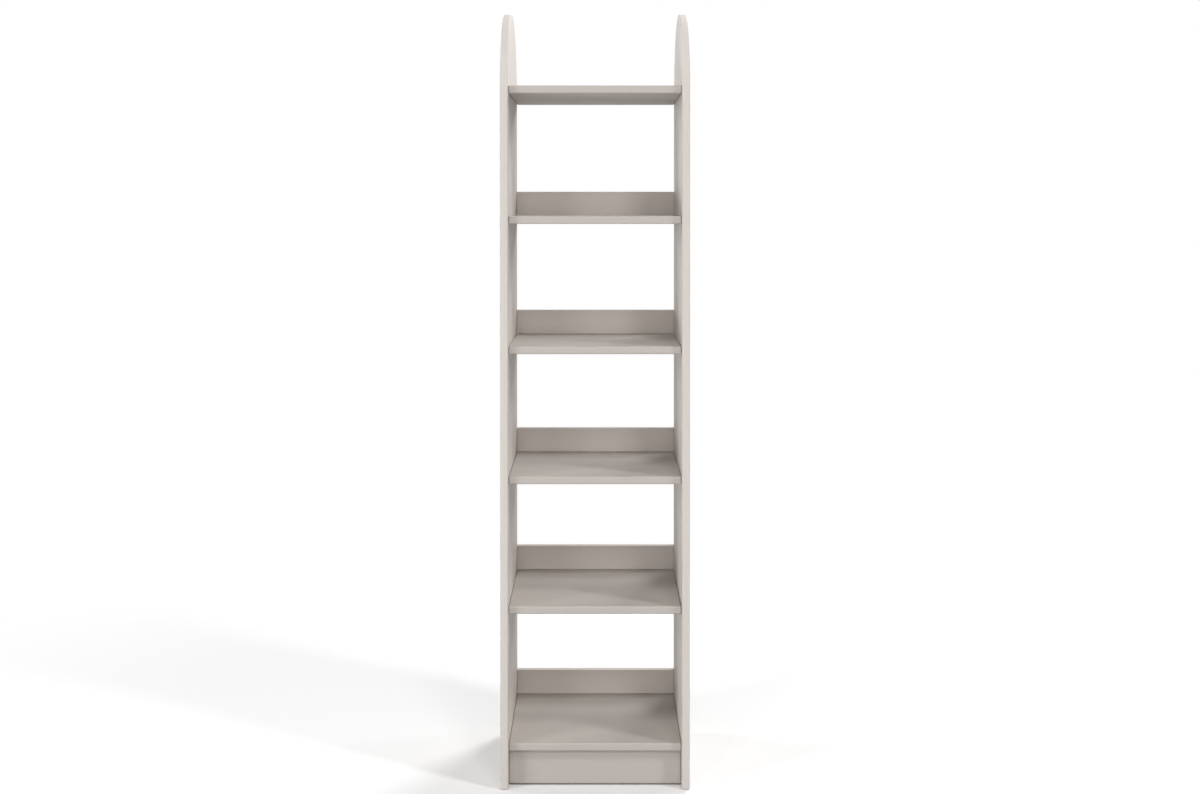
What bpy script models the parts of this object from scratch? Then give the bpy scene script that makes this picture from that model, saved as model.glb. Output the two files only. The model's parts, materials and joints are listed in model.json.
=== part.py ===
"""A tall, narrow, open bookcase with round-topped side panels.

Six shelves are screwed between two side panels. Five of them carry a low back rail, held at its ends by
dowels, and a dowelled plinth board closes the space under the lowest shelf.

Lengths are in metres. +X is to the right, +Y to the rear and +Z up. The origin is on the floor, in the
middle of the footprint, so the front of the bookcase faces -Y.
"""

import math

import bmesh
import bpy
from mathutils import Vector

# The side panels and the space between them
WIDTH = 0.430
DEPTH = 0.400
SIDE_THICKNESS = 0.018

# The shelves, numbered from the floor upwards
SHELF_THICKNESS = 0.018
SHELF_SETBACK = 0.015
FIRST_SHELF_UNDERSIDE = 0.083
FIRST_BAY_HEIGHT = 0.295
UPPER_BAY_HEIGHT = 0.278
SHELF_COUNT = 6

# The back rails, one on every shelf but the top one
RAIL_HEIGHT = 0.060
RAIL_THICKNESS = 0.018

# The plinth board under the first shelf
PLINTH_THICKNESS = 0.018
PLINTH_SETBACK = 0.029
PLINTH_FLOOR_GAP = 0.003

# The eased edges of every board
EDGE_RADIUS = 0.003
EDGE_SEGMENTS = 3

# Edges that turn more sharply than this are eased on a board, and crisp on a turned piece
CREASE_ANGLE = math.radians(35)

# The gap left where one piece meets, or is seated in, another
JOINT_GAP = 0.0003

# Connector screws with a countersunk head and a hexagon socket
SCREW_LENGTH = 0.050
SCREW_DIAMETER = 0.007
SCREW_TIP_LENGTH = 0.002
SCREW_TIP_DIAMETER = 0.004
SCREW_HEAD_DIAMETER = 0.010
SCREW_HEAD_LAND = 0.0006
SCREW_HEAD_SINK = 0.0003
SOCKET_ACROSS_FLATS = 0.004
SOCKET_DEPTH = 0.0025
SCREW_FRONT_INSET = 0.045
SCREW_REAR_INSET = 0.060

# Wooden dowels with chamfered ends
DOWEL_DIAMETER = 0.008
DOWEL_LENGTH = 0.030
DOWEL_CHAMFER = 0.001
DOWEL_IN_SIDE = 0.012
PLINTH_DOWEL_HEIGHT_SHARES = (0.28, 0.72)

# How far a bore runs past the end of what it holds, and a cutter past the face that it cuts
BORE_END_SPACE = 0.0005
CUT_OVERRUN = 0.002

# Facets of the round work
ARCH_SEGMENTS = 48
ROUND_SIDES = 12

# The finishes: colour, roughness and metallic value
PAINTED_WOOD = ((0.632, 0.585, 0.546, 1.0), 0.45, 0.0)
PLATED_STEEL = ((0.560, 0.570, 0.580, 1.0), 0.30, 1.0)
BEECH = ((0.560, 0.400, 0.250, 1.0), 0.60, 0.0)

# Sizes that follow from the ones above
FRONT = -DEPTH / 2
REAR = DEPTH / 2
ARCH_RADIUS = DEPTH / 2
INSIDE_FACE = WIDTH / 2 - SIDE_THICKNESS
BOARD_LENGTH = 2 * (INSIDE_FACE - JOINT_GAP)
SHELF_DEPTH = DEPTH - SHELF_SETBACK
SCREW_SEAT = SIDE_THICKNESS - SCREW_HEAD_SINK
SCREW_IN_SHELF = SCREW_LENGTH - SCREW_SEAT - JOINT_GAP
DOWEL_IN_BOARD = DOWEL_LENGTH - DOWEL_IN_SIDE - JOINT_GAP

SIDES = {"left": -1, "right": 1}


def shelf_undersides():
    """Heights of the shelves' undersides above the floor, lowest first."""
    heights = [FIRST_SHELF_UNDERSIDE]
    bays = [FIRST_BAY_HEIGHT] + [UPPER_BAY_HEIGHT] * (SHELF_COUNT - 2)
    for bay in bays:
        heights.append(heights[-1] + SHELF_THICKNESS + bay)
    return heights


def screw_axes(shelf_underside):
    """(y, z) of the front and the rear connector screw in each end of a shelf."""
    z = shelf_underside + SHELF_THICKNESS / 2
    return [(FRONT + SHELF_SETBACK + SCREW_FRONT_INSET, z), (REAR - SCREW_REAR_INSET, z)]


def rail_dowel_axis(shelf_underside):
    """(y, z) of the dowel in each end of the rail that stands on a shelf."""
    return REAR - RAIL_THICKNESS / 2, shelf_underside + SHELF_THICKNESS + RAIL_HEIGHT / 2


def plinth_dowel_axes():
    """(y, z) of the lower and the upper dowel in each end of the plinth board."""
    y = FRONT + PLINTH_SETBACK + PLINTH_THICKNESS / 2
    height = FIRST_SHELF_UNDERSIDE - PLINTH_FLOOR_GAP
    return [(y, PLINTH_FLOOR_GAP + height * share) for share in PLINTH_DOWEL_HEIGHT_SHARES]


def clear_scene():
    for leftover in list(bpy.data.objects):
        bpy.data.objects.remove(leftover, do_unlink=True)


def make_material(name, finish):
    colour, roughness, metallic = finish
    material = bpy.data.materials.new(name)
    material.use_nodes = True
    shader = material.node_tree.nodes["Principled BSDF"]
    shader.inputs["Base Color"].default_value = colour
    shader.inputs["Roughness"].default_value = roughness
    shader.inputs["Metallic"].default_value = metallic
    material.diffuse_color = colour
    return material


def mesh_from(bm, name):
    """Turn a bmesh of closed bodies into a mesh whose faces all point outwards."""
    bmesh.ops.recalc_face_normals(bm, faces=bm.faces)
    mesh = bpy.data.meshes.new(name)
    bm.to_mesh(mesh)
    bm.free()
    mesh.shade_smooth()
    return mesh


def place(name, mesh, material, location, parent):
    """Put a mesh in the scene as one named piece of the bookcase."""
    piece = bpy.data.objects.new(name, mesh)
    piece.location = location
    piece.parent = parent
    if not mesh.materials:
        mesh.materials.append(material)
    bpy.context.scene.collection.objects.link(piece)
    return piece


def hexagon(across_flats):
    """The distance from a hexagon's middle to its outline, as a function of the angle round it."""
    def reach_at(angle):
        from_flat = (angle + math.pi / 6) % (math.pi / 3) - math.pi / 6
        return across_flats / 2 / math.cos(from_flat)
    return reach_at


def add_turned_body(bm, profile, start, direction):
    """Turn a closed body about the line that leaves start along direction.

    The profile lists (reach, distance along the line), where reach is zero for a point on the line, the
    radius of a round ring, or a function of the angle for a ring of another shape.
    """
    turn = Vector((0, 0, 1)).rotation_difference(direction)
    rings = []
    for reach, along in profile:
        if reach == 0:
            rings.append([bm.verts.new(start + turn @ Vector((0, 0, along)))])
            continue
        ring = []
        for side in range(ROUND_SIDES):
            angle = 2 * math.pi * side / ROUND_SIDES
            radius = reach(angle) if callable(reach) else reach
            point = Vector((radius * math.cos(angle), radius * math.sin(angle), along))
            ring.append(bm.verts.new(start + turn @ point))
        rings.append(ring)
    for near, far in zip(rings, rings[1:]):
        for side in range(ROUND_SIDES):
            after = (side + 1) % ROUND_SIDES
            if len(near) == 1:
                bm.faces.new((near[0], far[side], far[after]))
            elif len(far) == 1:
                bm.faces.new((near[side], far[0], near[after]))
            else:
                bm.faces.new((near[side], far[side], far[after], near[after]))


def ease_edges(piece):
    """Round every edge of a board."""
    bevel = piece.modifiers.new("eased edges", "BEVEL")
    bevel.width = EDGE_RADIUS
    bevel.segments = EDGE_SEGMENTS
    bevel.limit_method = "ANGLE"
    bevel.angle_limit = CREASE_ANGLE


def drill(piece, bores):
    """Cut bores, each (profile, mouth, direction) in the piece's own frame, out of a board."""
    bm = bmesh.new()
    for profile, mouth, direction in bores:
        add_turned_body(bm, profile, Vector(mouth), Vector(direction))
    cutter = bpy.data.objects.new(f"drill_{piece.name}", mesh_from(bm, f"drill_{piece.name}"))
    cutter.location = piece.location
    cutter.parent = piece.parent
    cutter.hide_render = True
    cutter.display_type = "WIRE"
    bpy.context.scene.collection.objects.link(cutter)
    cut = piece.modifiers.new("bores", "BOOLEAN")
    cut.operation = "DIFFERENCE"
    cut.solver = "EXACT"
    cut.object = cutter
    shading = piece.modifiers.new("flat faces", "WEIGHTED_NORMAL")
    shading.keep_sharp = True


def blind_bore(diameter, depth):
    """Profile of a plain hole that starts at the face it is drilled into."""
    radius = diameter / 2 + JOINT_GAP
    bottom = depth + BORE_END_SPACE
    return [(0, -CUT_OVERRUN), (radius, -CUT_OVERRUN), (radius, bottom), (0, bottom)]


def countersunk_bore():
    """Profile of a connector screw's hole through a side panel, from its outer face."""
    head = SCREW_HEAD_DIAMETER / 2 + JOINT_GAP
    shank = SCREW_DIAMETER / 2 + JOINT_GAP
    cone_start = SCREW_HEAD_SINK + SCREW_HEAD_LAND
    cone_end = cone_start + head - shank
    through = SIDE_THICKNESS + CUT_OVERRUN
    return [(0, -CUT_OVERRUN), (head, -CUT_OVERRUN), (head, cone_start), (shank, cone_end), (shank, through),
            (0, through)]


def side_outline():
    """(y, z) corners of a side panel: a straight-sided board under a half-round top."""
    spring_line = shelf_undersides()[-1]
    outline = [(FRONT, 0), (REAR, 0)]
    for step in range(ARCH_SEGMENTS + 1):
        angle = math.pi * step / ARCH_SEGMENTS
        outline.append((ARCH_RADIUS * math.cos(angle), spring_line + ARCH_RADIUS * math.sin(angle)))
    return outline


def make_side_panel(name, side, material, parent):
    """A side panel, whose own origin is at the middle of its foot, on its outer face."""
    bm = bmesh.new()
    face = bm.faces.new([bm.verts.new((0, y, z)) for y, z in side_outline()])
    extruded = bmesh.ops.extrude_face_region(bm, geom=[face])
    inner = [item for item in extruded["geom"] if isinstance(item, bmesh.types.BMVert)]
    bmesh.ops.translate(bm, verts=inner, vec=(-side * SIDE_THICKNESS, 0, 0))
    panel = place(name, mesh_from(bm, name), material, (side * WIDTH / 2, 0, 0), parent)
    ease_edges(panel)

    bores = []
    for underside in shelf_undersides():
        for y, z in screw_axes(underside):
            bores.append((countersunk_bore(), (0, y, z), (-side, 0, 0)))
    dowel_axes = [rail_dowel_axis(underside) for underside in shelf_undersides()[:-1]]
    dowel_axes.extend(plinth_dowel_axes())
    for y, z in dowel_axes:
        bore = blind_bore(DOWEL_DIAMETER, DOWEL_IN_SIDE)
        bores.append((bore, (-side * SIDE_THICKNESS, y, z), (side, 0, 0)))
    drill(panel, bores)
    return panel


def make_board(name, depth, height, centre, bore, axes, material, parent):
    """A board between the side panels, with the same bores, at (y, z) axes, in both of its ends."""
    bm = bmesh.new()
    bmesh.ops.create_cube(bm, size=1)
    bmesh.ops.scale(bm, verts=bm.verts, vec=(BOARD_LENGTH, depth, height))
    board = place(name, mesh_from(bm, name), material, centre, parent)
    ease_edges(board)
    bores = []
    for side in SIDES.values():
        for y, z in axes:
            mouth = (side * BOARD_LENGTH / 2, y - centre[1], z - centre[2])
            bores.append((bore, mouth, (-side, 0, 0)))
    drill(board, bores)
    return board


def make_shelf(number, underside, material, parent):
    centre = (0, REAR - SHELF_DEPTH / 2, underside + SHELF_THICKNESS / 2)
    bore = blind_bore(SCREW_DIAMETER, SCREW_IN_SHELF)
    axes = screw_axes(underside)
    make_board(f"shelf_{number}", SHELF_DEPTH, SHELF_THICKNESS, centre, bore, axes, material, parent)


def make_back_rail(number, underside, material, parent):
    """A rail that stands on a shelf, flush with the rear edges of the side panels."""
    foot = underside + SHELF_THICKNESS + JOINT_GAP
    top = underside + SHELF_THICKNESS + RAIL_HEIGHT
    centre = (0, REAR - RAIL_THICKNESS / 2, (foot + top) / 2)
    bore = blind_bore(DOWEL_DIAMETER, DOWEL_IN_BOARD)
    axes = [rail_dowel_axis(underside)]
    make_board(f"back_rail_{number}", RAIL_THICKNESS, top - foot, centre, bore, axes, material, parent)


def make_plinth_board(material, parent):
    top = FIRST_SHELF_UNDERSIDE - JOINT_GAP
    centre = (0, FRONT + PLINTH_SETBACK + PLINTH_THICKNESS / 2, (PLINTH_FLOOR_GAP + top) / 2)
    bore = blind_bore(DOWEL_DIAMETER, DOWEL_IN_BOARD)
    height = top - PLINTH_FLOOR_GAP
    make_board("plinth_board", PLINTH_THICKNESS, height, centre, bore, plinth_dowel_axes(), material, parent)


def turned_mesh(bm, name):
    """A mesh that is shaded smooth round its axis and crisp at its shoulders."""
    mesh = mesh_from(bm, name)
    mesh.set_sharp_from_angle(angle=CREASE_ANGLE)
    return mesh


def screw_mesh(side):
    """A connector screw that points inwards from the middle of its head's top."""
    head = SCREW_HEAD_DIAMETER / 2
    shank = SCREW_DIAMETER / 2
    socket = hexagon(SOCKET_ACROSS_FLATS)
    profile = [
        (0, SOCKET_DEPTH),
        (socket, SOCKET_DEPTH),
        (socket, 0),
        (head, 0),
        (head, SCREW_HEAD_LAND),
        (shank, SCREW_HEAD_LAND + head - shank),
        (shank, SCREW_LENGTH - SCREW_TIP_LENGTH),
        (SCREW_TIP_DIAMETER / 2, SCREW_LENGTH),
        (0, SCREW_LENGTH),
    ]
    bm = bmesh.new()
    add_turned_body(bm, profile, Vector((0, 0, 0)), Vector((-side, 0, 0)))
    return turned_mesh(bm, "connector_screw")


def dowel_mesh():
    """A dowel along X, centred on its own middle."""
    radius = DOWEL_DIAMETER / 2
    profile = [
        (0, 0),
        (radius - DOWEL_CHAMFER, 0),
        (radius, DOWEL_CHAMFER),
        (radius, DOWEL_LENGTH - DOWEL_CHAMFER),
        (radius - DOWEL_CHAMFER, DOWEL_LENGTH),
        (0, DOWEL_LENGTH),
    ]
    bm = bmesh.new()
    add_turned_body(bm, profile, Vector((-DOWEL_LENGTH / 2, 0, 0)), Vector((1, 0, 0)))
    return turned_mesh(bm, "dowel")


def make_screws(material, parent):
    for side_name, side in SIDES.items():
        mesh = screw_mesh(side)
        for number, underside in enumerate(shelf_undersides(), start=1):
            for row, (y, z) in zip(("front", "rear"), screw_axes(underside)):
                head = (side * (WIDTH / 2 - SCREW_HEAD_SINK), y, z)
                place(f"shelf_{number}_screw_{row}_{side_name}", mesh, material, head, parent)


def make_dowels(material, parent):
    axes = {}
    for number, underside in enumerate(shelf_undersides()[:-1], start=1):
        axes[f"back_rail_{number}_dowel"] = rail_dowel_axis(underside)
    for row, axis in zip(("lower", "upper"), plinth_dowel_axes()):
        axes[f"plinth_dowel_{row}"] = axis
    mesh = dowel_mesh()
    middle = INSIDE_FACE + DOWEL_IN_SIDE - DOWEL_LENGTH / 2
    for side_name, side in SIDES.items():
        for name, (y, z) in axes.items():
            place(f"{name}_{side_name}", mesh, material, (side * middle, y, z), parent)


def build():
    clear_scene()
    bookcase = bpy.data.objects.new("bookcase", None)
    bpy.context.scene.collection.objects.link(bookcase)

    wood = make_material("painted wood", PAINTED_WOOD)
    for name, side in SIDES.items():
        make_side_panel(f"side_panel_{name}", side, wood, bookcase)
    for number, underside in enumerate(shelf_undersides(), start=1):
        make_shelf(number, underside, wood, bookcase)
    for number, underside in enumerate(shelf_undersides()[:-1], start=1):
        make_back_rail(number, underside, wood, bookcase)
    make_plinth_board(wood, bookcase)
    make_screws(make_material("plated steel", PLATED_STEEL), bookcase)
    make_dowels(make_material("beech", BEECH), bookcase)


build()
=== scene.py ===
# %% [markdown]
# # A tall, narrow bookcase with round-topped sides
# Two painted side panels hold six shelves. Five shelves carry a low back rail, and a plinth board closes
# the space under the lowest one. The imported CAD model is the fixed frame: every piece below takes its place
# and its size from a CAD solid's box, so the picture and the solids can't drift apart. Lengths are in
# metres, +X is to the right, +Y to the rear and +Z up, and the bookcase faces -Y.

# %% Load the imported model
import json
import math

import bmesh
import bpy
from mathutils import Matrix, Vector


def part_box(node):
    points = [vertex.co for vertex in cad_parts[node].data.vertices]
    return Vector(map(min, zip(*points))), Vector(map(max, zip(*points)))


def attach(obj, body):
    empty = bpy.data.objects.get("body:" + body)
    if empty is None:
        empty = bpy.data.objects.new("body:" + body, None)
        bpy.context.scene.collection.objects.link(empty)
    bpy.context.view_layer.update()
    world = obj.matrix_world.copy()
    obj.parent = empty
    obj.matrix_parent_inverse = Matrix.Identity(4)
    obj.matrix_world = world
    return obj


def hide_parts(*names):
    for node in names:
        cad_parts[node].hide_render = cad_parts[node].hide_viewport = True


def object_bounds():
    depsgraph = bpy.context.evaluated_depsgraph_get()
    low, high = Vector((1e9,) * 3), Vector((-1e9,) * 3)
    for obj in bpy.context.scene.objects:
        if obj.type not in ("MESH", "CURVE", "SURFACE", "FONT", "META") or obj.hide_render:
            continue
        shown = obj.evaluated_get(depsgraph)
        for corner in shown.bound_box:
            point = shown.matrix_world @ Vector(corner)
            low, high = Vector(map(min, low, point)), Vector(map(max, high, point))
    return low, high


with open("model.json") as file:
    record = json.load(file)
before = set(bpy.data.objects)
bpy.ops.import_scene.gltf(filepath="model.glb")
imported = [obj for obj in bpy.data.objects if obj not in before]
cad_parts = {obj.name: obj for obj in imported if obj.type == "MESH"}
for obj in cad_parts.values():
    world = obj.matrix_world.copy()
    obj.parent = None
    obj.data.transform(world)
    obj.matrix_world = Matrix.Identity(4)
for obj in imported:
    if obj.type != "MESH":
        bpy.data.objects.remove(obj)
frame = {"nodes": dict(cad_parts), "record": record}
CAD_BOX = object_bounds()
print("CAD box", [[round(v, 4) for v in corner] for corner in CAD_BOX])

# %% [markdown]
# ## The camera
# The photograph is taken from the front at chest height, a little right of the middle, and its verticals
# are upright. A camera that looks almost level, with its frame shifted down to take in the floor, keeps
# them upright, where a camera that is tilted down would make them lean. The focal length and the place were
# worked out from the shelves' edges, whose spacing in the picture gives both the distance and the height of
# the eye.

# %% Camera
PHOTO_WIDTH, PHOTO_HEIGHT = 1200, 794
SENSOR_WIDTH = 36.0
FOCAL_PIXELS = 1560.0
EYE_RIGHT, EYE_DISTANCE, EYE_HEIGHT = 0.0113, 3.5231, 1.3086
TILT_DOWN = 0.0129
OPTICAL_ROW = 233.2
FARTHEST_SEEN = 100.0

front_plane = CAD_BOX[0].y
camera_data = bpy.data.cameras.new("camera")
camera_data.sensor_width = SENSOR_WIDTH
camera_data.lens = SENSOR_WIDTH * FOCAL_PIXELS / PHOTO_WIDTH
camera_data.shift_y = (OPTICAL_ROW - PHOTO_HEIGHT / 2) / PHOTO_WIDTH
camera_data.clip_end = FARTHEST_SEEN
camera = bpy.data.objects.new("camera", camera_data)
camera.location = (EYE_RIGHT, front_plane - EYE_DISTANCE, EYE_HEIGHT)
camera.rotation_euler = (math.pi / 2 - TILT_DOWN, 0, 0)
bpy.context.scene.collection.objects.link(camera)
bpy.context.scene.camera = camera
print("camera", tuple(round(v, 3) for v in camera.location), "lens", round(camera_data.lens, 1))

# %% [markdown]
# ## Helpers for node trees
# Materials and Geometry Nodes are both trees of nodes, and a tree can be drawn by hand in the editor or
# built in a script, as here, where it can be read and run again. `add` puts one node in a tree and fills
# its inputs by name: a socket is linked, and anything else is typed in. `calc`, `vector_calc` and `scaled`
# are short names for the nodes that do sums, and `noise` for the one that makes a random pattern.


# %% Node helpers
def add(tree, kind, values=None, **settings):
    """Add a node; values maps an input's name or number to a socket or a plain value."""
    node = tree.nodes.new(kind)
    for key, value in settings.items():
        setattr(node, key, value)
    for key, value in (values or {}).items():
        socket = node.inputs[key]
        if isinstance(value, bpy.types.NodeSocket):
            tree.links.new(value, socket)
        else:
            socket.default_value = value
    return node


def calc(tree, operation, *values):
    """The result of a Math node."""
    return add(tree, "ShaderNodeMath", dict(enumerate(values)), operation=operation).outputs[0]


def vector_calc(tree, operation, *values):
    """The result of a Vector Math node."""
    return add(tree, "ShaderNodeVectorMath", dict(enumerate(values)), operation=operation).outputs[0]


def scaled(tree, vector, factor):
    """A vector times a number."""
    return add(tree, "ShaderNodeVectorMath", {0: vector, "Scale": factor}, operation="SCALE").outputs[0]


def noise(tree, where, scale, detail, **more):
    """The value of a noise pattern at a place."""
    values = {"Vector": where, "Scale": scale, "Detail": detail, **more}
    return add(tree, "ShaderNodeTexNoise", values).outputs["Fac"]


# %% [markdown]
# ## Painted wood
# Every board is wood under a silk-matt greige paint, put on with a roller. Three things show at arm's
# length: the grain, which the paint fills but doesn't hide, so it stands in faint lines along the board;
# the fine stipple that a roller leaves; and slow changes of tone where the film is thicker. An image of
# painted wood could be laid on, but noise on Object coordinates has no seams and fits a board of any size.
# The grain's noise is stretched along the board. There are three materials of one kind, lightest on the rails
# and darkest on the shelves and the plinth. The real bookcase is most likely painted in one colour. The
# rails' lighter tone is painted light, which these lamps don't give the backs of the bays. The darker tone of
# the shelves and the plinth is in part painted shade.

# %% Painted wood
PAINT = (0.603, 0.558, 0.523)
# The shelves' darker tone is in part painted shade, and the rails' lighter tone is painted light.
SHELF_PAINT_AND_SHADE = (0.477, 0.439, 0.406)
RAIL_PAINT_AND_LIGHT = (0.655, 0.608, 0.570)
PAINT_IOR = 1.45
ROUGHNESS, ROUGHNESS_SPREAD = 0.54, 0.12
GRAIN_ACROSS, GRAIN_ALONG = 26.0, 1.1
GRAIN_TONE, FILM_TONE = 0.055, 0.05
GRAIN_RELIEF, STIPPLE_RELIEF = 0.9, 0.35
GRAIN_SCALE, TONE_SCALE, STIPPLE_SCALE, FILM_SCALE = 9.0, 3.2, 620.0, 38.0
RELIEF_DEPTH = 0.00022
ALONG_X, ALONG_Z = 0, 2


def painted_wood(name, colour, along):
    """A material for boards whose grain runs along the axis of that number."""
    material = bpy.data.materials.new(name)
    material.use_nodes = True
    tree = material.node_tree
    shader = tree.nodes["Principled BSDF"]
    where = add(tree, "ShaderNodeTexCoord").outputs["Object"]
    shift = add(tree, "ShaderNodeAttribute", attribute_name="board_shift").outputs["Vector"]
    board = vector_calc(tree, "ADD", where, shift)
    stretch = [GRAIN_ACROSS] * 3
    stretch[along] = GRAIN_ALONG
    fibres = add(tree, "ShaderNodeMapping", {"Vector": board, "Scale": stretch}).outputs[0]
    grain = noise(tree, fibres, GRAIN_SCALE, 5.0, Roughness=0.62, Distortion=0.35)
    tone = noise(tree, board, TONE_SCALE, 2.0)
    stipple = noise(tree, board, STIPPLE_SCALE, 2.0)
    film = noise(tree, board, FILM_SCALE, 3.0)

    grain_tone = calc(tree, "MULTIPLY", grain, GRAIN_TONE)
    both = calc(tree, "ADD", grain_tone, calc(tree, "MULTIPLY", tone, FILM_TONE))
    value = calc(tree, "ADD", both, 1.0 - (GRAIN_TONE + FILM_TONE) / 2)
    tree.links.new(scaled(tree, colour, value), shader.inputs["Base Color"])
    rough = calc(tree, "MULTIPLY_ADD", film, ROUGHNESS_SPREAD, ROUGHNESS)
    tree.links.new(rough, shader.inputs["Roughness"])

    relief = calc(tree, "MULTIPLY_ADD", grain, GRAIN_RELIEF, calc(tree, "MULTIPLY", stipple, STIPPLE_RELIEF))
    bump = add(tree, "ShaderNodeBump", {"Height": relief, "Distance": RELIEF_DEPTH, "Strength": 0.5})
    tree.links.new(bump.outputs[0], shader.inputs["Normal"])
    shader.inputs["IOR"].default_value = PAINT_IOR
    return material


panel_paint = painted_wood("painted wood, side panels", PAINT, ALONG_Z)
# The rails' material carries painted light in its tone, and the shelves' and plinth's material carries
# painted shade in part.
rail_paint_and_light = painted_wood("painted wood with painted light, back rails", RAIL_PAINT_AND_LIGHT, ALONG_X)
shelf_paint_and_shade = painted_wood("painted wood with painted shade, shelves and plinth", SHELF_PAINT_AND_SHADE, ALONG_X)
print("painted wood:", PAINT, SHELF_PAINT_AND_SHADE, RAIL_PAINT_AND_LIGHT)

# %% [markdown]
# ## Shapes that follow a rule
# Every piece of this bookcase follows a rule, so every one is made by a Geometry Nodes tree, whose inputs
# are the sizes of one piece. `new_tree` starts a tree with named inputs, so the sizes stay visible in the
# modifier panel when someone opens the file. `end_tree` closes it, and `grow` puts it on an object and sets
# the inputs. Meshes typed in point by point would look the same, but no size could be changed afterwards.


# %% Geometry Nodes helpers
def new_tree(name, **inputs):
    """A Geometry Nodes tree with named inputs, and the node that hands them over."""
    tree = bpy.data.node_groups.new(name, "GeometryNodeTree")
    for label, kind in inputs.items():
        tree.interface.new_socket(label.replace("_", " "), in_out="INPUT", socket_type=f"NodeSocket{kind}")
    tree.interface.new_socket("Geometry", in_out="OUTPUT", socket_type="NodeSocketGeometry")
    return tree, tree.nodes.new("NodeGroupInput").outputs


def end_tree(tree, geometry, material):
    """Close a tree with Realize Instances, smooth shading and Set Material."""
    real = add(tree, "GeometryNodeRealizeInstances", {"Geometry": geometry})
    smooth = add(tree, "GeometryNodeSetShadeSmooth", {"Geometry": real.outputs[0]})
    painted = add(tree, "GeometryNodeSetMaterial", {"Geometry": smooth.outputs[0], "Material": material})
    output = tree.nodes.new("NodeGroupOutput")
    tree.links.new(painted.outputs[0], output.inputs[0])


def grow(name, tree, sizes, base=None):
    """An object whose mesh is made by a tree; sizes are set by the sockets' identifiers."""
    piece = bpy.data.objects.new(name, base or bpy.data.meshes.new(name))
    bpy.context.scene.collection.objects.link(piece)
    modifier = piece.modifiers.new(tree.name, "NODES")
    modifier.node_group = tree
    for item in tree.interface.items_tree:
        if item.in_out == "INPUT" and item.name in sizes:
            modifier[item.identifier] = sizes[item.name]
    return piece


# %% [markdown]
# ## Boards with eased edges
# Shelves, back rails and the plinth board are the same thing in different sizes: a board whose edges are
# all rounded over. So one tree makes them all. It starts from a cube with a few rows of points along every
# edge. A point's place on the board is the nearest point of a smaller, sharp box inside it, pushed out by
# the radius. Points on a face go straight out and stay flat, points on an edge fan out into a quarter
# round, and those at a corner form a piece of a ball. A Bevel modifier could do it too, but here the radius
# and the number of steps are plain inputs of the piece.

# %% The tree for eased boards
EDGE_RADIUS = 0.003
EDGE_STEPS = 4
HALVED = (0.5, 0.5, 0.5)


def with_shift(tree, board, shift):
    """Store on a board's points how far its grain pattern is shifted."""
    values = {"Geometry": board, "Name": "board_shift", "Value": shift}
    return add(tree, "GeometryNodeStoreNamedAttribute", values,
               data_type="FLOAT_VECTOR", domain="POINT").outputs[0]


def eased_board_tree():
    """A board of any size with every edge rounded over."""
    tree, sizes = new_tree("eased board", Size="Vector", Centre="Vector", Edge_radius="Float",
                           Edge_steps="Int", Board_shift="Vector", Material="Material")
    rows = calc(tree, "MULTIPLY_ADD", sizes["Edge steps"], 2.0, 2.0)
    span = calc(tree, "SUBTRACT", rows, 1.0)
    extent = add(tree, "ShaderNodeCombineXYZ", {"X": span, "Y": span, "Z": span}).outputs[0]
    cube = add(tree, "GeometryNodeMeshCube", {"Size": extent, "Vertices X": rows, "Vertices Y": rows,
                                              "Vertices Z": rows}).outputs["Mesh"]
    point = add(tree, "GeometryNodeInputPosition").outputs[0]
    side = vector_calc(tree, "SIGN", point)
    step = vector_calc(tree, "SUBTRACT", vector_calc(tree, "ABSOLUTE", point), HALVED)
    turn = calc(tree, "DIVIDE", math.pi / 4, sizes["Edge steps"])
    lean = vector_calc(tree, "TANGENT", scaled(tree, step, turn))
    outward = vector_calc(tree, "NORMALIZE", vector_calc(tree, "MULTIPLY", side, lean))
    reach = scaled(tree, outward, sizes["Edge radius"])
    radius = add(tree, "ShaderNodeCombineXYZ", dict.fromkeys("XYZ", sizes["Edge radius"])).outputs[0]
    half = vector_calc(tree, "SUBTRACT", vector_calc(tree, "MULTIPLY", sizes["Size"], HALVED), radius)
    inner = vector_calc(tree, "MULTIPLY", side, half)
    place = vector_calc(tree, "ADD", vector_calc(tree, "ADD", inner, reach), sizes["Centre"])
    board = add(tree, "GeometryNodeSetPosition", {"Geometry": cube, "Position": place}).outputs[0]
    end_tree(tree, with_shift(tree, board, sizes["Board shift"]), sizes["Material"])
    return tree


eased_board = eased_board_tree()
print("tree:", eased_board.name, len(eased_board.nodes), "nodes")

# %% [markdown]
# ## The bores
# The boards are joined by connector screws and dowels, which sit in bores. Their places are read from the
# CAD boxes of the screws and dowels themselves. A bore could be a hole in the tree that makes the board,
# but the bores of one board differ in size and depth, so they are cut afterwards. A bore is a turned form,
# and its cutter is a stack of rings along a line. One Boolean modifier per board subtracts all its cutters,
# and a Weighted Normal modifier then keeps the flat faces flat in the light. `settle` makes a plain mesh of
# what the modifiers give.

# %% Where the bores are
cad_names = sorted(frame["nodes"])
screw_nodes = [name for name in cad_names if "_screw_" in name]
dowel_nodes = [name for name in cad_names if "_dowel_" in name]
print(len(cad_names), "CAD solids, of them", len(screw_nodes), "screws and", len(dowel_nodes), "dowels")


def axis_of(node):
    """The middle line of a turned CAD piece that lies along X, as its two ends and its radius."""
    low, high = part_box(node)
    y, z = (low.y + high.y) / 2, (low.z + high.z) / 2
    return Vector((low.x, y, z)), Vector((high.x, y, z)), (high.z - low.z) / 2


def span_of(left, right):
    """The side of the bookcase that a piece is on, -1 or 1, with the X of its outer and of its inner end."""
    return (1, right.x, left.x) if left.x + right.x > 0 else (-1, left.x, right.x)


# %% Cutting the bores
CLEARANCE = 0.0003
BORE_OVERRUN = 0.002
BORE_END_SPACE = 0.0005
BORE_SIDES = 24
CREASE_ANGLE = math.radians(35)


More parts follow.
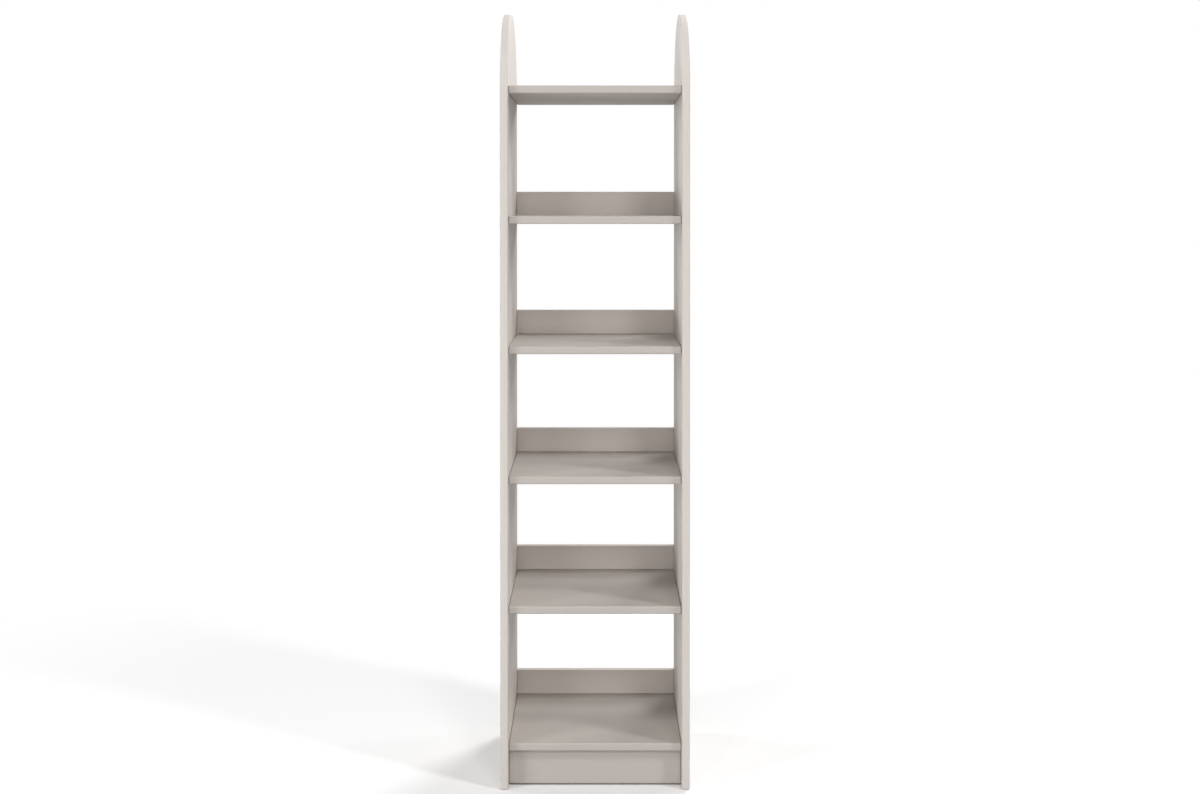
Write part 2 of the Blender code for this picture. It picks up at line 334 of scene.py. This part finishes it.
def turned_cutter(bm, axis_point, profile):
    """Add a closed turned body to a bmesh; its axis runs along X, and the profile lists (x, radius) pairs."""
    rings = []
    for x, radius in profile:
        ring = []
        for corner in range(BORE_SIDES):
            angle = math.tau * corner / BORE_SIDES
            ring.append(bm.verts.new((x, axis_point.y + radius * math.cos(angle),
                                      axis_point.z + radius * math.sin(angle))))
        rings.append(ring)
    bm.faces.new(rings[0])
    bm.faces.new(rings[-1])
    for near, far in zip(rings, rings[1:]):
        for corner in range(BORE_SIDES):
            after = (corner + 1) % BORE_SIDES
            bm.faces.new((near[corner], far[corner], far[after], near[after]))


def settle(piece):
    """Turn what an object's modifiers make into its own plain mesh, and take the modifiers away."""
    seen = piece.evaluated_get(bpy.context.evaluated_depsgraph_get())
    made = bpy.data.meshes.new_from_object(seen)
    finish = next(material for material in made.materials if material)
    made.materials.clear()
    made.materials.append(finish)
    piece.modifiers.clear()
    piece.data = made
    made.name = piece.name


def shade(piece):
    """Keep rims crisp, rounded edges smooth and flat faces flat in the light."""
    piece.data.set_sharp_from_angle(angle=CREASE_ANGLE)
    piece.modifiers.new("flat faces", "WEIGHTED_NORMAL").keep_sharp = True
    settle(piece)


def drill(piece, bm):
    """Subtract the closed bodies of a bmesh from a piece."""
    bmesh.ops.recalc_face_normals(bm, faces=bm.faces)
    mesh = bpy.data.meshes.new("cutter")
    bm.to_mesh(mesh)
    bm.free()
    cutter = bpy.data.objects.new("cutter", mesh)
    bpy.context.scene.collection.objects.link(cutter)
    cut = piece.modifiers.new("bores", "BOOLEAN")
    cut.solver = "EXACT"
    cut.object = cutter
    settle(piece)
    bpy.data.objects.remove(cutter)
    shade(piece)


# %% [markdown]
# ## Shelves, back rails and the plinth board
# Each board takes its size from its own CAD box, its bores from the screws or dowels in its ends, and a
# different piece of the noise pattern, so that no two boards show the same grain. The photograph shows no
# groove where a rail stands on its shelf, so the rails' edges are only just broken, and the other boards'
# edges are rounded by 3 mm.

# %% Make the level boards
SCREW_SHANK = 0.007
RAIL_EDGE_RADIUS = 0.001
BOARD_SHIFT = Vector((0.731, 1.317, 2.113))
slots = {row["node"]: row["material_slot"] for row in frame["record"]["subparts"]}


def fasteners_in(board):
    """The names of the CAD screws or dowels that hold a board's ends."""
    stem = "plinth_dowel" if board == "plinth_board" else board
    return [name for name in screw_nodes + dowel_nodes if name.startswith(stem + "_")]


def hand_over(piece, slot, *nodes):
    """Let a finished piece stand for CAD nodes and ride with the bookcase's one body."""
    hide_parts(*nodes)
    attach(piece, "root")
    print(piece.name, len(piece.data.polygons), "faces, in the place of", len(nodes), "CAD solids")


def level_board(name, number):
    """Make a shelf, rail or plinth board in the place of its CAD solid."""
    low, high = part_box(name)
    is_rail = "rail" in name
    board = grow(name + "_painted", eased_board, {
        "Size": high - low,
        "Centre": (low + high) / 2,
        "Edge radius": RAIL_EDGE_RADIUS if is_rail else EDGE_RADIUS,
        "Edge steps": EDGE_STEPS,
        "Board shift": BOARD_SHIFT * number,
        "Material": rail_paint_and_light if is_rail else shelf_paint_and_shade,
    })
    bm = bmesh.new()
    for fastener in fasteners_in(name):
        left, right, radius = axis_of(fastener)
        side, outer, inner = span_of(left, right)
        bore = (SCREW_SHANK / 2 if fastener in screw_nodes else radius) + CLEARANCE
        turned_cutter(bm, left, [(outer + side * BORE_OVERRUN, bore), (inner - side * BORE_END_SPACE, bore)])
    drill(board, bm)
    hand_over(board, slots[name], name)


level_names = [name for name in cad_names
               if name == "plinth_board" or name[:-1] in ("shelf_", "back_rail_")]
for number, name in enumerate(level_names):
    level_board(name, number)

# %% [markdown]
# ## The round-topped side panels
# A side panel is one outline with a rounded rim: up one edge, over a half circle and down the other edge,
# with a small rounding at each foot. Walking along the outline, the outward direction only ever turns one
# way, from 0 to 360 degrees. So a point on the rim needs two numbers: how far round the outline it is, and
# how far round the edge's own rounding. The tree bends a flat grid into that rim, with a rule for each
# number, and closes it with two flat faces. A bevelled curve would give the same outline, but its feet
# would have to be squared afterwards.


# %% The outline of a side panel
def either(tree, switch, off, on):
    """Off where the switch is 0, and on where it is 1."""
    return add(tree, "ShaderNodeMix", {"Factor": switch, "A": off, "B": on}).outputs["Result"]


def panel_outline(tree, index, inset, sizes):
    """The Y and Z of an outline point, given its number and its distance inside the outline."""
    steps, arch = sizes["Edge steps"], sizes["Arch steps"]
    first_foot = calc(tree, "SUBTRACT", index, calc(tree, "ADD", arch, 1.0))
    second_foot = calc(tree, "SUBTRACT", first_foot, calc(tree, "ADD", steps, 1.0))
    on_foot = calc(tree, "GREATER_THAN", first_foot, -0.5)
    on_second = calc(tree, "GREATER_THAN", second_foot, -0.5)
    arch_angle = calc(tree, "MULTIPLY", calc(tree, "DIVIDE", index, arch), math.pi)
    quarter = calc(tree, "DIVIDE", math.pi / 2, steps)
    first_angle = calc(tree, "MULTIPLY_ADD", first_foot, quarter, math.pi)
    second_angle = calc(tree, "MULTIPLY_ADD", second_foot, quarter, 1.5 * math.pi)
    angle = either(tree, on_second, either(tree, on_foot, arch_angle, first_angle), second_angle)

    half = calc(tree, "MULTIPLY", sizes["Depth"], 0.5)
    foot_reach = calc(tree, "SUBTRACT", half, sizes["Edge radius"])
    foot_y = calc(tree, "MULTIPLY", foot_reach, either(tree, on_second, -1.0, 1.0))
    centre_y = calc(tree, "MULTIPLY", on_foot, foot_y)
    centre_z = either(tree, on_foot, sizes["Spring height"], sizes["Edge radius"])
    radius = calc(tree, "SUBTRACT", either(tree, on_foot, half, sizes["Edge radius"]), inset)
    y = calc(tree, "MULTIPLY_ADD", calc(tree, "COSINE", angle), radius, centre_y)
    z = calc(tree, "MULTIPLY_ADD", calc(tree, "SINE", angle), radius, centre_z)
    return y, z


# %% The tree for the side panels
WELD_DISTANCE = 0.00001


def rim_place(tree, number, points, rings, half, sizes):
    """The place of a point on the rim, given its number on a grid of that many points and rings."""
    steps, radius = sizes["Edge steps"], sizes["Edge radius"]
    ring = calc(tree, "MODULO", number, rings)
    column = calc(tree, "FLOOR", calc(tree, "DIVIDE", calc(tree, "ADD", number, 0.5), rings))
    along = calc(tree, "MODULO", column, points)
    on_far_side = calc(tree, "GREATER_THAN", ring, calc(tree, "ADD", steps, 0.5))
    round_step = calc(tree, "SUBTRACT", calc(tree, "SUBTRACT", ring, on_far_side), steps)
    lean = calc(tree, "MULTIPLY", round_step, calc(tree, "DIVIDE", math.pi / 2, steps))
    inset = calc(tree, "MULTIPLY", radius, calc(tree, "SUBTRACT", 1.0, calc(tree, "COSINE", lean)))
    flat = calc(tree, "SUBTRACT", half, radius)
    away = calc(tree, "MULTIPLY_ADD", on_far_side, 2.0, -1.0)
    across = calc(tree, "MULTIPLY_ADD", calc(tree, "SINE", lean), radius, calc(tree, "MULTIPLY", away, flat))
    x = calc(tree, "ADD", across, sizes["Middle"])
    y, z = panel_outline(tree, along, inset, sizes)
    return add(tree, "ShaderNodeCombineXYZ", {"X": x, "Y": y, "Z": z}).outputs[0]


def round_topped_panel_tree():
    """An upright board whose top is a half circle, with every edge rounded over."""
    tree, sizes = new_tree("round-topped panel", Thickness="Float", Depth="Float", Spring_height="Float",
                           Edge_radius="Float", Edge_steps="Int", Arch_steps="Int", Middle="Float",
                           Board_shift="Vector", Material="Material")
    edge_points = calc(tree, "MULTIPLY_ADD", sizes["Edge steps"], 2.0, 3.0)
    points = calc(tree, "ADD", edge_points, sizes["Arch steps"])
    rings = calc(tree, "MULTIPLY_ADD", sizes["Edge steps"], 2.0, 2.0)
    half = calc(tree, "MULTIPLY", sizes["Thickness"], 0.5)
    number = add(tree, "GeometryNodeInputIndex").outputs[0]

    columns = calc(tree, "ADD", points, 1.0)
    grid = add(tree, "GeometryNodeMeshGrid", {"Vertices X": columns, "Vertices Y": rings}).outputs["Mesh"]
    place = rim_place(tree, number, points, rings, half, sizes)
    rim = add(tree, "GeometryNodeSetPosition", {"Geometry": grid, "Position": place}).outputs[0]

    disc = add(tree, "GeometryNodeMeshCircle", {"Vertices": points, "Radius": 1.0},
               fill_type="NGON").outputs["Mesh"]
    y, z = panel_outline(tree, number, sizes["Edge radius"], sizes)
    faces = []
    for side in (-1.0, 1.0):
        x = calc(tree, "MULTIPLY_ADD", half, side, sizes["Middle"])
        place = add(tree, "ShaderNodeCombineXYZ", {"X": x, "Y": y, "Z": z}).outputs[0]
        face = add(tree, "GeometryNodeSetPosition", {"Geometry": disc, "Position": place}).outputs[0]
        if side < 0:
            face = add(tree, "GeometryNodeFlipFaces", {"Mesh": face}).outputs[0]
        faces.append(face)
    parts = add(tree, "GeometryNodeJoinGeometry")
    for part in (rim, *faces):
        tree.links.new(part, parts.inputs[0])
    values = {"Geometry": parts.outputs[0], "Distance": WELD_DISTANCE}
    closed = add(tree, "GeometryNodeMergeByDistance", values).outputs[0]
    end_tree(tree, with_shift(tree, closed, sizes["Board shift"]), sizes["Material"])
    return tree


round_topped_panel = round_topped_panel_tree()
print("tree:", round_topped_panel.name, len(round_topped_panel.nodes), "nodes")

# %% Make the side panels
ARCH_STEPS = 96
SINK_LAND = 0.0009
PANEL_SHIFT = Vector((3.17, 0.53, 1.91))


def side_panel(name, number):
    """Make a side panel in the place of its CAD solid."""
    low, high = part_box(name)
    panel = grow(name + "_painted", round_topped_panel, {
        "Thickness": high.x - low.x,
        "Depth": high.y - low.y,
        "Spring height": high.z - (high.y - low.y) / 2,
        "Edge radius": EDGE_RADIUS,
        "Edge steps": EDGE_STEPS,
        "Arch steps": ARCH_STEPS,
        "Middle": (low.x + high.x) / 2,
        "Board shift": PANEL_SHIFT * number,
        "Material": panel_paint,
    })
    side, outer, inner = span_of(low, high)
    bm = bmesh.new()
    for fastener in screw_nodes + dowel_nodes:
        left, right, radius = axis_of(fastener)
        fastener_side, outer_end, _ = span_of(left, right)
        if fastener_side != side:
            continue
        wide, past_inner = radius + CLEARANCE, inner - side * BORE_OVERRUN
        if fastener in screw_nodes:
            narrow = SCREW_SHANK / 2 + CLEARANCE
            cone_end = outer - side * (SINK_LAND + wide - narrow)
            turned_cutter(bm, left, [(outer + side * BORE_OVERRUN, wide), (outer - side * SINK_LAND, wide),
                                     (cone_end, narrow), (past_inner, narrow)])
        else:
            turned_cutter(bm, left, [(past_inner, wide), (outer_end + side * BORE_END_SPACE, wide)])
    drill(panel, bm)
    hand_over(panel, slots[name], name)


side_panel("side_panel_left", 1)
side_panel("side_panel_right", 2)

# %% [markdown]
# ## Connector screws
# Two connector screws go through a side panel into each end of each shelf, 24 in all. They are the same
# turned piece again and again, so a Geometry Nodes tree makes one and puts an instance on every point of a
# small mesh of points, which lie where the CAD screws' heads are. The body is a cylinder whose rings are
# moved by a rule: the first four make the countersunk head, the last one the tip, and the rings between
# them rise and fall with the height and the angle, which gives the thread. A Mesh Boolean cuts the hexagon
# socket. Every screw is turned by a random angle with a fixed seed, because no screw stops at the same
# angle as the next one. The screws could be 24 objects, but then a change would have to be made 24 times.
# Their steel is plated, so it is a metal whose tint and gloss wander a little, where an even metal looks
# like chrome.

# %% Plated steel
STEEL_DARK, STEEL_LIGHT = (0.50, 0.52, 0.55, 1), (0.66, 0.66, 0.63, 1)
STEEL_ROUGHNESS, STEEL_SPREAD = 0.20, 0.25
MOTTLE_SCALE = 900.0
SCRATCH_DEPTH = 0.00002

plated_steel = bpy.data.materials.new("plated steel")
plated_steel.use_nodes = True
tree = plated_steel.node_tree
shader = tree.nodes["Principled BSDF"]
shader.inputs["Metallic"].default_value = 1.0
where = add(tree, "ShaderNodeTexCoord").outputs["Object"]
mottle = noise(tree, where, MOTTLE_SCALE, 3.0)
tint = add(tree, "ShaderNodeMix", {"Factor": mottle, "A": STEEL_DARK, "B": STEEL_LIGHT},
           data_type="RGBA").outputs["Result"]
tree.links.new(tint, shader.inputs["Base Color"])
tree.links.new(calc(tree, "MULTIPLY_ADD", mottle, STEEL_SPREAD, STEEL_ROUGHNESS), shader.inputs["Roughness"])
scratches = add(tree, "ShaderNodeBump", {"Height": mottle, "Distance": SCRATCH_DEPTH, "Strength": 0.4})
tree.links.new(scratches.outputs[0], shader.inputs["Normal"])
print("steel:", STEEL_DARK[:3], "to", STEEL_LIGHT[:3])


# %% Nodes for turned pieces on points
def unit_cylinder(tree, sides, rings):
    """A cylinder of radius and height 1 that stands round the Z axis."""
    return add(tree, "GeometryNodeMeshCylinder", {"Vertices": sides, "Side Segments": rings,
                                                  "Radius": 1.0, "Depth": 1.0}).outputs["Mesh"]


def turned_ring(tree, rings):
    """A point's ring on a unit cylinder, counted from the top, and its angle round the axis."""
    point = add(tree, "GeometryNodeInputPosition").outputs[0]
    x, y, z = add(tree, "ShaderNodeSeparateXYZ", {0: point}).outputs
    ring = calc(tree, "ROUND", calc(tree, "MULTIPLY", calc(tree, "SUBTRACT", 0.5, z), rings))
    return ring, calc(tree, "ARCTAN2", y, x)


def turned_place(tree, radius, angle, along):
    """The place of a point at that radius and angle round +Z."""
    x = calc(tree, "MULTIPLY", calc(tree, "COSINE", angle), radius)
    y = calc(tree, "MULTIPLY", calc(tree, "SINE", angle), radius)
    return add(tree, "ShaderNodeCombineXYZ", {"X": x, "Y": y, "Z": along}).outputs[0]


def on_points(tree, piece, seed):
    """Put a piece that points along +Z on every point, aimed along the point's own direction."""
    points = tree.nodes["Group Input"].outputs["Points"]
    aim = add(tree, "GeometryNodeInputNamedAttribute", {"Name": "into"}, data_type="FLOAT_VECTOR")
    aimed = add(tree, "FunctionNodeAlignRotationToVector", {"Vector": aim.outputs["Attribute"]},
                axis="Z").outputs[0]
    spin = add(tree, "FunctionNodeRandomValue", {"Max": (0.0, 0.0, math.tau), "Seed": seed},
               data_type="FLOAT_VECTOR").outputs[0]
    own = add(tree, "FunctionNodeEulerToRotation", {0: spin}).outputs[0]
    turned = add(tree, "FunctionNodeRotateRotation", {0: aimed, 1: own}, rotation_space="LOCAL").outputs[0]
    return add(tree, "GeometryNodeInstanceOnPoints", {"Points": points, "Instance": piece,
                                                      "Rotation": turned}).outputs[0]


# %% The profile of a connector screw
CONE_RING = 3
THREAD_RING = 8
RIM_CHAMFER = 0.35


def screw_profile(tree, ring, angle, sizes):
    """How far along a screw and how far from its axis a point lies, given its ring and angle."""
    head = calc(tree, "MULTIPLY", sizes["Head diameter"], 0.5)
    shank = calc(tree, "MULTIPLY", sizes["Diameter"], 0.5)
    land = sizes["Head land"]
    cone_end = calc(tree, "ADD", land, calc(tree, "SUBTRACT", head, shank))
    body_end = calc(tree, "SUBTRACT", sizes["Length"], sizes["Tip length"])
    last = calc(tree, "GREATER_THAN", ring, calc(tree, "SUBTRACT", sizes["Rings"], 0.5))
    rings_below_head = calc(tree, "SUBTRACT", sizes["Rings"], CONE_RING + 1.0)
    share = calc(tree, "DIVIDE", calc(tree, "SUBTRACT", ring, float(CONE_RING)), rings_below_head)
    body = calc(tree, "MULTIPLY_ADD", share, calc(tree, "SUBTRACT", body_end, cone_end), cone_end)
    from_ring = {number: calc(tree, "GREATER_THAN", ring, number - 0.5)
                 for number in (1, 2, CONE_RING, THREAD_RING)}
    chamfer = calc(tree, "MULTIPLY", land, RIM_CHAMFER)
    along = either(tree, from_ring[1], 0.0, chamfer)
    along = either(tree, from_ring[2], along, land)
    along = either(tree, from_ring[CONE_RING], along, body)
    along = either(tree, last, along, sizes["Length"])

    turns = calc(tree, "SUBTRACT", calc(tree, "DIVIDE", along, sizes["Thread pitch"]),
                 calc(tree, "DIVIDE", angle, math.tau))
    ridge = calc(tree, "PINGPONG", turns, 0.5)
    groove = calc(tree, "MULTIPLY", calc(tree, "MULTIPLY", ridge, 2.0), sizes["Thread depth"])
    grooved = calc(tree, "MULTIPLY", groove, from_ring[THREAD_RING])
    radius = either(tree, from_ring[1], calc(tree, "SUBTRACT", head, chamfer), head)
    radius = either(tree, from_ring[CONE_RING], radius, calc(tree, "SUBTRACT", shank, grooved))
    radius = either(tree, last, radius, calc(tree, "MULTIPLY", sizes["Tip diameter"], 0.5))
    return along, radius


# %% The tree for connector screws
SCREW_SIDES = 24
HEXAGON = 6


def connector_screw_tree():
    """Screws with a countersunk head, a hexagon socket and a thread, one on every point."""
    tree, sizes = new_tree("connector screws", Points="Geometry", Length="Float", Diameter="Float",
                           Head_diameter="Float", Head_land="Float", Tip_length="Float", Tip_diameter="Float",
                           Socket_width="Float", Socket_depth="Float", Thread_pitch="Float",
                           Thread_depth="Float", Rings="Int", Seed="Int", Material="Material")
    cylinder = unit_cylinder(tree, SCREW_SIDES, sizes["Rings"])
    ring, angle = turned_ring(tree, sizes["Rings"])
    along, radius = screw_profile(tree, ring, angle, sizes)
    place = turned_place(tree, radius, angle, along)
    moved = add(tree, "GeometryNodeSetPosition", {"Geometry": cylinder, "Position": place}).outputs[0]
    solid = add(tree, "GeometryNodeFlipFaces", {"Mesh": moved}).outputs[0]

    corner_radius = calc(tree, "DIVIDE", sizes["Socket width"], math.sqrt(3))
    both_ways = calc(tree, "MULTIPLY", sizes["Socket depth"], 2.0)
    prism = add(tree, "GeometryNodeMeshCylinder", {"Vertices": HEXAGON, "Radius": corner_radius,
                                                   "Depth": both_ways}).outputs["Mesh"]
    screw = add(tree, "GeometryNodeMeshBoolean", {"Mesh 1": solid, "Mesh 2": prism}, operation="DIFFERENCE",
                solver="EXACT").outputs[0]
    end_tree(tree, on_points(tree, screw, sizes["Seed"]), sizes["Material"])
    return tree


# %% Points to put pieces on
def points_mesh(name, places):
    """Loose points, each with the direction that its piece is aimed in."""
    mesh = bpy.data.meshes.new(name)
    mesh.from_pydata([place for place, _ in places], [], [])
    aims = mesh.attributes.new("into", "FLOAT_VECTOR", "POINT")
    for point, (_, aim) in enumerate(places):
        aims.data[point].vector = aim
    return mesh


# %% Make the connector screws
SCREW_SEED = 7

screw_places = []
for name in screw_nodes:
    left, right, head_radius = axis_of(name)
    side, outer, _ = span_of(left, right)
    screw_places.append(((outer, left.y, left.z), (-side, 0, 0)))
screws = grow("connector_screws", connector_screw_tree(), {
    "Length": right.x - left.x,
    "Diameter": SCREW_SHANK,
    "Head diameter": 2 * head_radius,
    "Head land": 0.0006,
    "Tip length": 0.002,
    "Tip diameter": 0.004,
    "Socket width": 0.004,
    "Socket depth": 0.0025,
    "Thread pitch": 0.003,
    "Thread depth": 0.0009,
    "Rings": 72,
    "Seed": SCREW_SEED,
    "Material": plated_steel,
}, points_mesh("screw heads", screw_places))
settle(screws)
shade(screws)
hand_over(screws, slots[screw_nodes[0]], *screw_nodes)

# %% [markdown]
# ## Dowels
# The rails and the plinth board hang between the sides on beech dowels, which are hidden once the bookcase
# is together. A fluted dowel is a cylinder with every second line of points drawn in, and with chamfered
# ends, so its tree is a shorter one of the same kind as the screws'. Bare beech is noise stretched along
# the dowel.

# %% Beech
BEECH_DARK, BEECH_LIGHT = (0.46, 0.31, 0.18, 1), (0.64, 0.47, 0.30, 1)
BEECH_ROUGHNESS, BEECH_SPREAD = 0.5, 0.2
FIBRE_STRETCH = (30.0, 600.0, 600.0)
PORE_DEPTH = 0.0001

beech = bpy.data.materials.new("bare beech")
beech.use_nodes = True
tree = beech.node_tree
shader = tree.nodes["Principled BSDF"]
where = add(tree, "ShaderNodeTexCoord").outputs["Object"]
fibres = add(tree, "ShaderNodeMapping", {"Vector": where, "Scale": FIBRE_STRETCH}).outputs[0]
grain = noise(tree, fibres, 1.0, 4.0)
tint = add(tree, "ShaderNodeMix", {"Factor": grain, "A": BEECH_DARK, "B": BEECH_LIGHT},
           data_type="RGBA").outputs["Result"]
tree.links.new(tint, shader.inputs["Base Color"])
tree.links.new(calc(tree, "MULTIPLY_ADD", grain, BEECH_SPREAD, BEECH_ROUGHNESS), shader.inputs["Roughness"])
pores = add(tree, "ShaderNodeBump", {"Height": grain, "Distance": PORE_DEPTH, "Strength": 0.5})
tree.links.new(pores.outputs[0], shader.inputs["Normal"])
print("beech:", BEECH_DARK[:3], "to", BEECH_LIGHT[:3])

# %% The tree for fluted dowels
DOWEL_RINGS = 3


def fluted_dowel_tree():
    """Dowels with chamfered ends and flutes, one on every point."""
    tree, sizes = new_tree("fluted dowels", Points="Geometry", Length="Float", Diameter="Float",
                           Chamfer="Float", Flutes="Int", Flute_depth="Float", Seed="Int",
                           Material="Material")
    lines = calc(tree, "MULTIPLY", sizes["Flutes"], 2.0)
    cylinder = unit_cylinder(tree, lines, DOWEL_RINGS)
    ring, angle = turned_ring(tree, float(DOWEL_RINGS))
    half = calc(tree, "MULTIPLY", sizes["Length"], 0.5)
    from_middle = calc(tree, "SUBTRACT", ring, DOWEL_RINGS / 2)
    at_end = calc(tree, "GREATER_THAN", calc(tree, "ABSOLUTE", from_middle), 1.0)
    before_end = calc(tree, "MULTIPLY", sizes["Chamfer"], calc(tree, "SUBTRACT", 1.0, at_end))
    along = calc(tree, "MULTIPLY", calc(tree, "SIGN", from_middle), calc(tree, "SUBTRACT", half, before_end))

    line = calc(tree, "ROUND", calc(tree, "MULTIPLY", calc(tree, "DIVIDE", angle, math.pi), sizes["Flutes"]))
    drawn_in = calc(tree, "MULTIPLY", calc(tree, "FLOORED_MODULO", line, 2.0), sizes["Flute depth"])
    eased = calc(tree, "MULTIPLY", at_end, sizes["Chamfer"])
    full = calc(tree, "MULTIPLY", sizes["Diameter"], 0.5)
    radius = calc(tree, "SUBTRACT", calc(tree, "SUBTRACT", full, drawn_in), eased)
    place = turned_place(tree, radius, angle, along)
    moved = add(tree, "GeometryNodeSetPosition", {"Geometry": cylinder, "Position": place}).outputs[0]
    solid = add(tree, "GeometryNodeFlipFaces", {"Mesh": moved}).outputs[0]
    end_tree(tree, on_points(tree, solid, sizes["Seed"]), sizes["Material"])
    return tree


# %% Make the dowels
DOWEL_SEED = 8

dowel_places = []
for name in dowel_nodes:
    left, right, dowel_radius = axis_of(name)
    dowel_places.append(((left + right) / 2, (1, 0, 0)))
dowels = grow("dowels", fluted_dowel_tree(), {
    "Length": right.x - left.x,
    "Diameter": 2 * dowel_radius,
    "Chamfer": 0.001,
    "Flutes": 16,
    "Flute depth": 0.0003,
    "Seed": DOWEL_SEED,
    "Material": beech,
}, points_mesh("dowel middles", dowel_places))
settle(dowels)
shade(dowels)
hand_over(dowels, slots[dowel_nodes[0]], *dowel_nodes)

# %% [markdown]
# ## The floor and the backdrop
# The photograph is a cut-out on white: only faint shadows on the floor are left. The floor gives light back
# to the bookcase as pale paper does. Where the camera sees it, straight or in a shiny surface, its
# brightness is lifted until the lit part is white, so that the shadows stay and the lamps needn't be any
# brighter. The backdrop is white to the same rays and a dimmer light to all others. Far from the bookcase
# the floor fades into the backdrop. Making both with plain white light instead would wash out the
# bookcase's own shadows.


# %% Which rays show the backdrop
def shows_backdrop(tree):
    """1 for a ray that shows the floor or backdrop: from the camera, mirrored or through glass."""
    ray = add(tree, "ShaderNodeLightPath").outputs
    direct = calc(tree, "MAXIMUM", ray["Is Camera Ray"], ray["Is Transmission Ray"])
    return calc(tree, "MAXIMUM", direct, ray["Is Glossy Ray"])


# %% The floor
FLOOR_SIZE = 40.0
FLOOR_SQUARES = 8
PAPER_GREY = 0.42
SEEN_GREY = 0.885
FADE_FROM, FADE_TO = 1.1, 2.3

bm = bmesh.new()
bmesh.ops.create_grid(bm, x_segments=FLOOR_SQUARES, y_segments=FLOOR_SQUARES, size=FLOOR_SIZE / 2)
floor_mesh = bpy.data.meshes.new("floor")
bm.to_mesh(floor_mesh)
bm.free()
floor = bpy.data.objects.new("floor", floor_mesh)
bpy.context.scene.collection.objects.link(floor)

paper = bpy.data.materials.new("white paper")
paper.use_nodes = True
tree = paper.node_tree
tree.nodes.clear()
seen = shows_backdrop(tree)
lit = add(tree, "ShaderNodeBsdfDiffuse", {"Color": (PAPER_GREY,) * 3 + (1,)}).outputs[0]
lifted = add(tree, "ShaderNodeBsdfDiffuse", {"Color": (SEEN_GREY,) * 3 + (1,)}).outputs[0]
white = add(tree, "ShaderNodeEmission", {"Strength": 1.0}).outputs[0]
where = add(tree, "ShaderNodeTexCoord").outputs["Object"]
distance = add(tree, "ShaderNodeVectorMath", {0: where}, operation="LENGTH").outputs["Value"]
far = add(tree, "ShaderNodeMapRange", {"Value": distance, "From Min": FADE_FROM, "From Max": FADE_TO},
          interpolation_type="SMOOTHSTEP").outputs[0]
pictured = add(tree, "ShaderNodeMixShader", {"Fac": far, 1: lifted, 2: white}).outputs[0]
surface = add(tree, "ShaderNodeMixShader", {"Fac": seen, 1: lit, 2: pictured}).outputs[0]
add(tree, "ShaderNodeOutputMaterial", {"Surface": surface})
floor.data.materials.append(paper)
print("floor", FLOOR_SIZE, "m wide")

# %% The backdrop
AMBIENT = 0.25
WHITE = (1, 1, 1, 1)

world = bpy.data.worlds.new("studio")
bpy.context.scene.world = world
world.use_nodes = True
tree = world.node_tree
tree.nodes.clear()
seen = shows_backdrop(tree)
ambient = add(tree, "ShaderNodeBackground", {"Color": WHITE, "Strength": AMBIENT}).outputs[0]
backdrop = add(tree, "ShaderNodeBackground", {"Color": WHITE, "Strength": 1.0}).outputs[0]
studio = add(tree, "ShaderNodeMixShader", {"Fac": seen, 1: ambient, 2: backdrop}).outputs[0]
add(tree, "ShaderNodeOutputWorld", {"Surface": studio})
print("white backdrop, ambient light", AMBIENT)

# %% [markdown]
# ## The lamps
# The shadows in the photograph tell where the lamps are. The right panel throws two shadows over every
# shelf, one from a lamp far to the right and one from a lamp nearly in front, and the wedges on the floor
# around the foot lie opposite to each lamp. Their edges are equally sharp from the lowest shelf to the
# highest and run in the same direction, so the big soft boxes are far away, all round and most of them high
# up. The one high behind reaches the rear of the shelves through the open back. The underside of the top
# shelf has a shadow too, and that takes small boxes that stand low and near in front. Every box faces the
# middle of the bookcase. An image of a studio could give light too, but lamps can be moved one by one until
# every shadow fits.

# %% Lamps
AIM = Vector((0, 0, 0.9))
LAMPS = {  # degrees to the right of the front, metres away over the floor, metres high, metres across, watts
    "right key": (56, 7.1, 7.1, 1.1, 262),
    "front key": (16, 8.2, 5.7, 1.4, 148),
    "front left": (-22, 8.7, 5.0, 1.75, 100),
    "left key": (-55, 7.3, 6.8, 1.75, 170),
    "right side": (105, 7.1, 7.1, 2.5, 75),
    "left side": (-105, 7.3, 6.9, 2.5, 130),
    "high right rear": (150, 5.7, 8.2, 2.5, 190),
    "right rear": (150, 8.7, 5.0, 3.0, 365),
    "left rear": (-150, 9.8, 2.1, 2.5, 100),
    "level front": (0, 9.9, 1.4, 2.5, 105),
    "low left": (-57, 3.0, 0.4, 0.9, 26),
    "low right": (57, 3.0, 0.5, 0.9, 9),
}

for name, (azimuth, distance, height, across, power) in LAMPS.items():
    light = bpy.data.lights.new(name, "AREA")
    light.size = across
    light.energy = power
    holder = bpy.data.objects.new(name, light)
    turn = math.radians(azimuth)
    holder.location = (distance * math.sin(turn), -distance * math.cos(turn), height)
    holder.rotation_mode = "QUATERNION"
    holder.rotation_quaternion = (AIM - holder.location).to_track_quat("-Z", "Y")
    bpy.context.scene.collection.objects.link(holder)
print(len(LAMPS), "soft boxes")

bpy.context.scene.view_settings.view_transform = "Standard"
